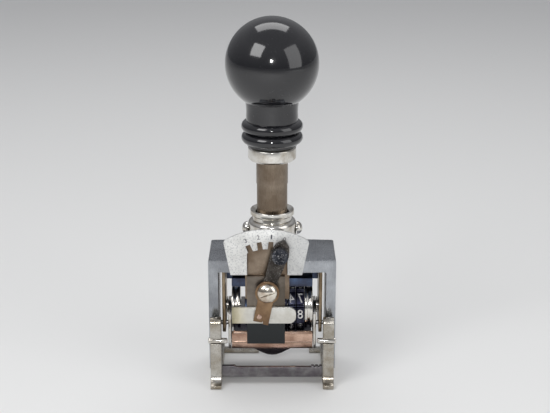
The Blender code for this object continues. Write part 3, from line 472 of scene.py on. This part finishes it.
def figure_mesh(text, width, height, depth):
    """A figure as a closed mesh of the size given, standing on z = 0."""
    letter = bpy.data.curves.new("figure", "FONT")
    letter.body = text
    letter.extrude = 0.5
    letter.resolution_u = 3
    obj = bpy.data.objects.new("figure", letter)
    bpy.context.collection.objects.link(obj)
    mesh = bpy.data.meshes.new_from_object(obj.evaluated_get(bpy.context.evaluated_depsgraph_get()))
    bpy.data.objects.remove(obj, do_unlink=True)
    bpy.data.curves.remove(letter)
    bm = bmesh.new()
    bm.from_mesh(mesh)
    bpy.data.meshes.remove(mesh)
    bmesh.ops.remove_doubles(bm, verts=bm.verts[:], dist=0.0001)
    lows = [min(v.co[i] for v in bm.verts) for i in range(3)]
    highs = [max(v.co[i] for v in bm.verts) for i in range(3)]
    sizes = [high - low for low, high in zip(lows, highs)]
    centre = Vector([(low + high) / 2 for low, high in zip(lows, highs)])
    if text == "1":
        width = width * 0.55
    scale = Matrix.Diagonal((width / sizes[0], height / sizes[1], depth / sizes[2], 1.0))
    bm.transform(Matrix.Translation((0.0, 0.0, depth / 2)) @ scale @ Matrix.Translation(-centre))
    mesh = bpy.data.meshes.new("figure_" + text)
    bm.to_mesh(mesh)
    bm.free()
    return mesh


figures = [figure_mesh(str(i), figure_width, figure_height, figure_rise + figure_sink)
           for i in range(face_count)]


def add_figures(name, node, front_figure, material):
    """Ten raised figures round a wheel, mirrored, with the one named facing forward."""
    low, high, middle = box_of(node)
    bm = bmesh.new()
    for i in range(face_count):
        angle = pi + 2 * pi * i / face_count
        out = Vector((0.0, cos(angle), sin(angle)))
        up = Vector((0.0, sin(angle), -cos(angle)))
        across = Vector((-1.0, 0.0, 0.0))
        seat = middle + out * (face_apothem - figure_sink)
        turn = Matrix((across, up, out)).transposed().to_4x4()
        before = len(bm.verts)
        bm.from_mesh(figures[(front_figure + i) % face_count])
        bm.verts.ensure_lookup_table()
        bmesh.ops.transform(bm, matrix=Matrix.Translation(seat) @ turn, verts=bm.verts[before:])
    bmesh.ops.recalc_face_normals(bm, faces=bm.faces[:])
    added_piece(bm, name, material, node)


for node, shown in zip(wheel_names, shown_at_front):
    dressed(node, inked_steel, wheel_edge)
    add_figures(node + "_figures", node, shown, figure_metal)

# Ratchet and pawl. The nickel ratchet turns the wheels one figure at a stroke. The pawl that
# drives it hangs on a pin in the end of a swinging arm.
for node, finish in (("ratchet_wheel", bright_nickel), ("pawl_arm", plain_steel),
                     ("pawl_pin", bright_nickel), ("drive_pawl", blued_steel)):
    dressed(node, finish, small_edge, 2, 50.0)

# Detent comb. One strip of spring steel, slit into a finger for each wheel and screwed up under
# the bridge, clicks the wheels into place.
spring_strip = metal("spring_strip", (0.40, 0.42, 0.46), (0.20, 0.18, 0.20), (0.20, 0.36), 160.0, 0.5,
                     (0.06, 1.0, 1.0), 0.06)
strip_edge = 0.08 * mm
dressed("detent_comb", spring_strip, strip_edge, 1)

# Ink tray. Pressed from copper-plated sheet and swung on two nickel arms. Its front is rolled at
# the top and creased lower down, and ends in a waved lip; from the lip down the tray is darkened to nearly
# black.
def tinted(material, axis, start, end, colour, amount, ragged=0.0):
    """Blends the finish into another colour along one axis of the piece, with a ragged edge if asked."""
    tree = material.node_tree
    shader = tree.nodes["Principled BSDF"]
    source = shader.inputs["Base Color"].links[0].from_socket
    place = tree.nodes.new("ShaderNodeTexCoord")
    split = tree.nodes.new("ShaderNodeSeparateXYZ")
    reach = node_of(tree, "ShaderNodeMapRange", From_Min=start, From_Max=end, To_Max=amount)
    mix = node_of(tree, "ShaderNodeMix", data_type="RGBA")
    mix.inputs[7].default_value = (*colour, 1.0)
    link = tree.links.new
    link(place.outputs["Object"], split.inputs[0])
    along = split.outputs[axis]
    if ragged:
        cloud = node_of(tree, "ShaderNodeTexNoise", Scale=260.0, Detail=4.0, Roughness=0.65)
        shift = node_of(tree, "ShaderNodeMapRange", To_Min=-ragged, To_Max=ragged)
        total = node_of(tree, "ShaderNodeMath", operation="ADD")
        link(place.outputs["Object"], cloud.inputs["Vector"])
        link(cloud.outputs[0], shift.inputs["Value"])
        link(along, total.inputs[0])
        link(shift.outputs[0], total.inputs[1])
        along = total.outputs[0]
    link(along, reach.inputs["Value"])
    link(reach.outputs[0], mix.inputs[0])
    link(source, mix.inputs[6])
    link(mix.outputs[2], shader.inputs["Base Color"])


def speckled(material, colour, amount, scale, least, most):
    """Strews fine specks of another colour over a finish."""
    tree = material.node_tree
    shader = tree.nodes["Principled BSDF"]
    source = shader.inputs["Base Color"].links[0].from_socket
    place = tree.nodes.new("ShaderNodeTexCoord")
    specks = node_of(tree, "ShaderNodeTexNoise", Scale=scale, Detail=2.0, Roughness=0.6)
    mask = node_of(tree, "ShaderNodeMapRange", From_Min=least, From_Max=most, To_Max=amount)
    mix = node_of(tree, "ShaderNodeMix", data_type="RGBA")
    mix.inputs[7].default_value = (*colour, 1.0)
    link = tree.links.new
    link(place.outputs["Object"], specks.inputs["Vector"])
    link(specks.outputs[0], mask.inputs["Value"])
    link(mask.outputs[0], mix.inputs[0])
    link(source, mix.inputs[6])
    link(mix.outputs[2], shader.inputs["Base Color"])


low, high, middle = box_of("pad_tray")
lip_height, lip_dark_above, lip_dark_below, lip_ragged = 3.6 * mm, 0.5 * mm, 0.7 * mm, 0.5 * mm
tray_edge, arm_edge, guide_edge = 0.22 * mm, 0.14 * mm, 0.08 * mm
lip_z = low.z + lip_height
copper = metal("tray_copper", (0.72, 0.50, 0.39), (0.36, 0.22, 0.16), (0.14, 0.32), 120.0, 0.6,
               (0.04, 1.0, 1.0), 0.08)
# The tray goes nearly black towards its bottom, from the lip down, with a ragged edge.
tinted(copper, 2, lip_z + lip_dark_above, lip_z - lip_dark_below, (0.07, 0.065, 0.08), 0.95, lip_ragged)
dressed("pad_tray", copper, tray_edge)
tray_front_y = low.y
bead_sink, bead_end_gap = 0.15 * mm, 0.2 * mm
top_bead_drop, top_bead_r = 0.6 * mm, 0.75 * mm
crease_height, crease_r = 6.3 * mm, 0.6 * mm
for node in ("pad_arm_left", "pad_arm_right"):
    dressed(node, bright_nickel, arm_edge, 2, 50.0)
for node in ("guide_pin_left", "guide_pin_right"):
    dressed(node, plain_steel, guide_edge)


def rolled_bead(name, z, r, half_length, material):
    """A rolled bead that runs across the front of the tray."""
    profile = [(0.0, half_length), (r * 0.7, half_length - r * 0.3), (r, half_length - r)]
    profile += [(end_r, -h) for end_r, h in profile[::-1]]
    bm = turned(profile, 24)
    seat = Matrix.Translation((middle.x, tray_front_y + r - bead_sink, z))
    bm.transform(seat @ Matrix.Rotation(pi / 2, 4, "Y"))
    piece = added_piece(bm, name, material, "pad_tray")
    piece.data.shade_smooth()
    piece.data.set_sharp_from_angle(angle=radians(40.0))


bead_half = (high.x - low.x) / 2 - bead_end_gap
# Painted highlight: the top bead and the crease get a lighter, glossier copy of the tray's copper.
bead_copper_highlight = metal("bead_copper_highlight", (0.80, 0.58, 0.46), (0.46, 0.29, 0.21), (0.12, 0.26), 150.0, 0.5,
                    (0.04, 1.0, 1.0), 0.06)
rolled_bead("tray_top_bead", high.z - top_bead_drop, top_bead_r, bead_half, bead_copper_highlight)
rolled_bead("tray_crease", low.z + crease_height, crease_r, bead_half, bead_copper_highlight)

# Felt pad. A block of thick felt soaked with blue-black ink lies in the tray. It is crowned
# where it swells, drawn in at its sides, and pressed into shallow furrows by the wheels.
low, high, middle = box_of("ink_felt")
felt = new_material("inked_felt", (0.018, 0.012, 0.045), 0.0, 0.95)
tree = felt.node_tree
shader = tree.nodes["Principled BSDF"]
place = tree.nodes.new("ShaderNodeTexCoord")
fibres = node_of(tree, "ShaderNodeTexNoise", Scale=3200.0, Detail=6.0, Roughness=0.75)
wet = node_of(tree, "ShaderNodeTexNoise", Scale=170.0, Detail=3.0, Roughness=0.6)
wetness = node_of(tree, "ShaderNodeMapRange", From_Min=0.4, From_Max=0.65, To_Min=0.55, To_Max=1.0)
ink = node_of(tree, "ShaderNodeMix", data_type="RGBA")
ink.inputs[6].default_value = (0.030, 0.020, 0.085, 1.0)
ink.inputs[7].default_value = (0.012, 0.010, 0.022, 1.0)
nap = node_of(tree, "ShaderNodeBump", Strength=0.7, Distance=0.0004)
link = tree.links.new
link(place.outputs["Object"], fibres.inputs["Vector"])
link(place.outputs["Object"], wet.inputs["Vector"])
link(wet.outputs[0], wetness.inputs["Value"])
link(wetness.outputs[0], shader.inputs["Roughness"])
link(wet.outputs[0], ink.inputs[0])
link(ink.outputs[2], shader.inputs["Base Color"])
link(fibres.outputs[0], nap.inputs["Height"])
link(nap.outputs[0], shader.inputs["Normal"])
shader.inputs["Sheen Weight"].default_value = 0.3
shader.inputs["Sheen Roughness"].default_value = 0.5
bm = bmesh.new()
bmesh.ops.create_cube(bm, size=1.0)
size = high - low
bm.transform(Matrix.Translation(middle) @ Matrix.Diagonal((*size, 1.0)))
bmesh.ops.subdivide_edges(bm, edges=bm.edges[:], cuts=15, use_grid_fill=True)
felt_crown, felt_draw, furrow, felt_edge = 0.22 * mm, 0.25 * mm, 0.12 * mm, 0.3 * mm
wheel_pitch = 3.8 * mm
for v in bm.verts:
    across = (v.co.x - middle.x) / size.x * 2
    deep = (v.co.y - middle.y) / size.y * 2
    up = (v.co.z - middle.z) / size.z * 2
    droop = felt_crown * max(across ** 4, deep ** 4)
    ripple = furrow * (0.5 + 0.5 * cos(2 * pi * v.co.x / wheel_pitch)) * (1 - across ** 8)
    v.co.z -= (droop + ripple) * (up + 1) / 2
    pull = felt_draw * (1 - up * up)
    v.co.x -= pull * across ** 3
    v.co.y -= pull * deep ** 3
bevel_sharp(bm, felt_edge, 2, 60.0)
pad = finish_piece(bm, "ink_felt_pad", felt, "ink_felt", 180.0)

# Window plate. Thin bronze sheet behind the window of the sector, brown with age and rubbed
# bright where the lever sweeps over it.
bronze = metal("window_bronze", (0.40, 0.33, 0.26), (0.19, 0.14, 0.10), (0.24, 0.46), 85.0, 0.9,
               (0.25, 1.0, 0.25), 0.12)
dressed("window_plate", bronze, small_edge)

# Front plate. Browned steel above. Its lower end, which sets the machine down square on the
# paper, is painted nearly black from just above the repeat bar's lower edge down: painted shade under the
# bar.
browned = metal("browned_steel", (0.31, 0.27, 0.23), (0.13, 0.11, 0.09), (0.26, 0.46), 80.0, 0.9,
                (1.0, 1.0, 0.2), 0.10)
plate_edge, painted_shade_fades, painted_shade_full = 0.16 * mm, 2.5 * mm, 1.5 * mm
bar_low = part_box("repeat_bar")[0][2]
# Painted shade: below the repeat bar's lower edge the plate turns nearly black.
tinted(browned, 2, bar_low + painted_shade_fades, bar_low + painted_shade_full, (0.045, 0.048, 0.050), 1.0)
dressed("front_plate", browned, plate_edge)

# Sector plate. Stamped sheet with a granular silvered face. Four notches along the window take
# the pointer, each with a small plain figure over it. The right side has lost more of its silver.
silvered = metal("silvered_face", (0.82, 0.82, 0.80), (0.66, 0.66, 0.64), (0.34, 0.52), 120.0, 0.5,
                 (1.0, 1.0, 1.0), 0.05, 0.25)
silvered.node_tree.nodes["Principled BSDF"].inputs["Metallic"].default_value = 0.45
speckled(silvered, (0.34, 0.35, 0.37), 0.6, 1500.0, 0.54, 0.62)
low, high, middle = box_of("sector_plate")
wear_start, wear_ragged, shoulder_r, sector_edge = 1.0 * mm, 5.0 * mm, 1.2 * mm, 0.12 * mm
tinted(silvered, 0, middle.x + wear_start, high.x, (0.40, 0.41, 0.42), 0.45, wear_ragged)
bm = flats_of("sector_plate")
through = [e for e in bm.edges if abs(e.verts[0].co.y - e.verts[1].co.y) > 0.9 * (high.y - low.y)
           and abs(e.verts[0].co.x - middle.x) > 0.46 * (high.x - low.x)]
bmesh.ops.bevel(bm, geom=through, offset=shoulder_r, offset_type="OFFSET", segments=6, profile=0.5,
                affect="EDGES", clamp_overlap=True, material=-1)
bevel_sharp(bm, sector_edge, 2, 50.0)
finish_piece(bm, "sector_plate_finished", silvered, "sector_plate")
sector_front_y = low.y
mark_grey = metal("mark_grey", (0.13, 0.13, 0.15), (0.07, 0.07, 0.08), (0.4, 0.6), 500.0, 0.4)
mark_width, mark_height, mark_depth, mark_proud = 1.2 * mm, 1.9 * mm, 0.12 * mm, 0.03 * mm
joints = frame["record"]["behaviour"]["joints"]
pivot = Vector(next(row["pos_m"] for row in joints if row["name"] == "lever_set"))
lever_tilt, notch_step, mark_radius = radians(17.6), radians(13.3), 24.5 * mm
for i in range(4):
    lean = lever_tilt - i * notch_step
    bm = bmesh.new()
    bm.from_mesh(figure_mesh(str(i), mark_width, mark_height, mark_depth))
    seat = Vector((pivot.x + mark_radius * sin(lean), sector_front_y + mark_depth - mark_proud,
                   pivot.z + mark_radius * cos(lean)))
    bm.transform(Matrix.Translation(seat) @ Matrix.Rotation(lean, 4, "Y") @ Matrix.Rotation(pi / 2, 4, "X"))
    added_piece(bm, "sector_mark_" + str(i), mark_grey, "sector_plate")

# Pointer lever. Cast and blackened, with a sandy skin worn in spots; its light specks are that wear
# and painted glints. A knurled knob is riveted near its point.
blackened = metal("blackened_casting", (0.15, 0.135, 0.12), (0.045, 0.040, 0.036), (0.30, 0.55), 260.0, 0.9,
                  (1.0, 1.0, 1.0), 0.25, 0.55)
# Light specks: worn spots of the casting and painted glints on its sandy skin.
speckled(blackened, (0.42, 0.41, 0.40), 0.7, 2300.0, 0.60, 0.68)
lever_edge, knurl_edge = 0.35 * mm, 0.25 * mm
dressed("pointer_lever", blackened, lever_edge, 3)
knob_black = metal("knob_black", (0.085, 0.09, 0.105), (0.022, 0.024, 0.03), (0.28, 0.5), 300.0, 0.8,
                   (1.0, 1.0, 1.0), 0.2, 0.7)
speckled(knob_black, (0.34, 0.34, 0.35), 0.6, 1500.0, 0.56, 0.64)
dressed("lever_knob", knob_black, knurl_edge, 2, 60.0)

# Lever tail and rivet. Sheet brass gone brown, clamped under the pivot screw; its rivet drives
# the repeat bar.
brown_brass = metal("brown_brass", (0.40, 0.27, 0.16), (0.20, 0.125, 0.075), (0.24, 0.42), 140.0, 0.85,
                    (1.0, 1.0, 1.0), 0.15, 0.1)
dressed("lever_tail", brown_brass, plate_edge)
rivet_copper = metal("rivet_copper", (0.62, 0.45, 0.36), (0.32, 0.20, 0.14), (0.18, 0.34), 400.0, 0.5)
low, high, middle = box_of("tail_rivet")
rivet_r, rivet_head_r, rivet_dome = (high.x - low.x) / 2, 1.15 * mm, 0.35 * mm
tail_front_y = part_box("lever_tail")[0][1]
profile = [(0.0, -low.y)]
profile += [(rivet_head_r * sin(a), -tail_front_y + rivet_dome * cos(a)) for a in (0.4, 0.8, 1.2, pi / 2)]
profile += [(rivet_r, -tail_front_y), (rivet_r, -high.y), (0.0, -high.y)]
spun("tail_rivet_turned", profile, (middle.x, 0.0, middle.z), (0.0, -1.0, 0.0), rivet_copper,
     "tail_rivet", 0.0, 32)

# Pivot screw. Turned steel with a high round head, nickel plated and polished, the slot sawn across
# it. It clamps the lever and its tail to the front plate.
def sawn(bm, centre, size, lean):
    """Cuts a slot of the size given out of a closed mesh."""
    cutter_bm = bmesh.new()
    bmesh.ops.create_cube(cutter_bm, size=1.0)
    turn = Matrix.Rotation(lean, 4, "Y")
    cutter_bm.transform(Matrix.Translation(centre) @ turn @ Matrix.Diagonal((*size, 1.0)))
    objs = []
    for name, source in (("blank", bm), ("saw", cutter_bm)):
        mesh = bpy.data.meshes.new(name)
        source.to_mesh(mesh)
        obj = bpy.data.objects.new(name, mesh)
        bpy.context.collection.objects.link(obj)
        objs.append(obj)
    cutter_bm.free()
    blank, saw = objs
    cut = blank.modifiers.new("cut", "BOOLEAN")
    cut.operation, cut.solver, cut.object = "DIFFERENCE", "EXACT", saw
    mesh = bpy.data.meshes.new_from_object(blank.evaluated_get(bpy.context.evaluated_depsgraph_get()))
    for obj in objs:
        bpy.data.objects.remove(obj, do_unlink=True)
    bm.clear()
    bm.from_mesh(mesh)
    bpy.data.meshes.remove(mesh)


low, high, middle = box_of("lever_screw")
head_r, head_height = (high.x - low.x) / 2, 2.4 * mm
seat = -low.y - head_height
shank_r = 1.6 * mm
angles = [pi / 2 * (1 - i / 16) for i in range(17)]
profile = [(head_r * cos(a), seat + head_height * sin(a)) for a in angles]
profile[0] = (0.0, -low.y)
profile += [(shank_r, seat), (shank_r, -high.y), (0.0, -high.y)]
slot_depth, slot_width = 2.0 * mm, 0.85 * mm
slot_size = (head_r * 3, slot_depth, slot_width)
slot_lean = radians(-18.0)


def saw_slot(bm):
    sawn(bm, Vector((pivot.x, low.y, pivot.z)), slot_size, slot_lean)


screw_nickel = metal("screw_nickel", (0.80, 0.75, 0.66), (0.46, 0.36, 0.27), (0.10, 0.24), 210.0, 0.45,
                     (1.0, 1.0, 1.0), 0.05)
spun("lever_screw_turned", profile, (pivot.x, 0.0, pivot.z), (0.0, -1.0, 0.0), screw_nickel, "lever_screw",
     0.0, 96, False, saw_slot)

# Repeat bar. A flat bar of pale nickel silver, milled along its length, that slides with the
# lever's tail. Its left end is yellowed and spotted.
milled = metal("milled_bar", (0.74, 0.73, 0.69), (0.58, 0.56, 0.50), (0.26, 0.44), 130.0, 0.45,
               (0.015, 1.0, 1.0), 0.22)
milled.node_tree.nodes["Principled BSDF"].inputs["Metallic"].default_value = 0.7
low, high, middle = box_of("repeat_bar")
yellow_from, yellow_to, yellow_ragged = 7.0 * mm, 2.5 * mm, 2.5 * mm
brown_from, brown_to, brown_ragged = 3.4 * mm, 0.5 * mm, 2.2 * mm
tinted(milled, 0, low.x + yellow_from, low.x + yellow_to, (0.60, 0.54, 0.36), 0.75, yellow_ragged)
tinted(milled, 0, low.x + brown_from, low.x + brown_to, (0.27, 0.24, 0.14), 0.7, brown_ragged)
repeat_edge = 0.22 * mm
dressed("repeat_bar", milled, repeat_edge)
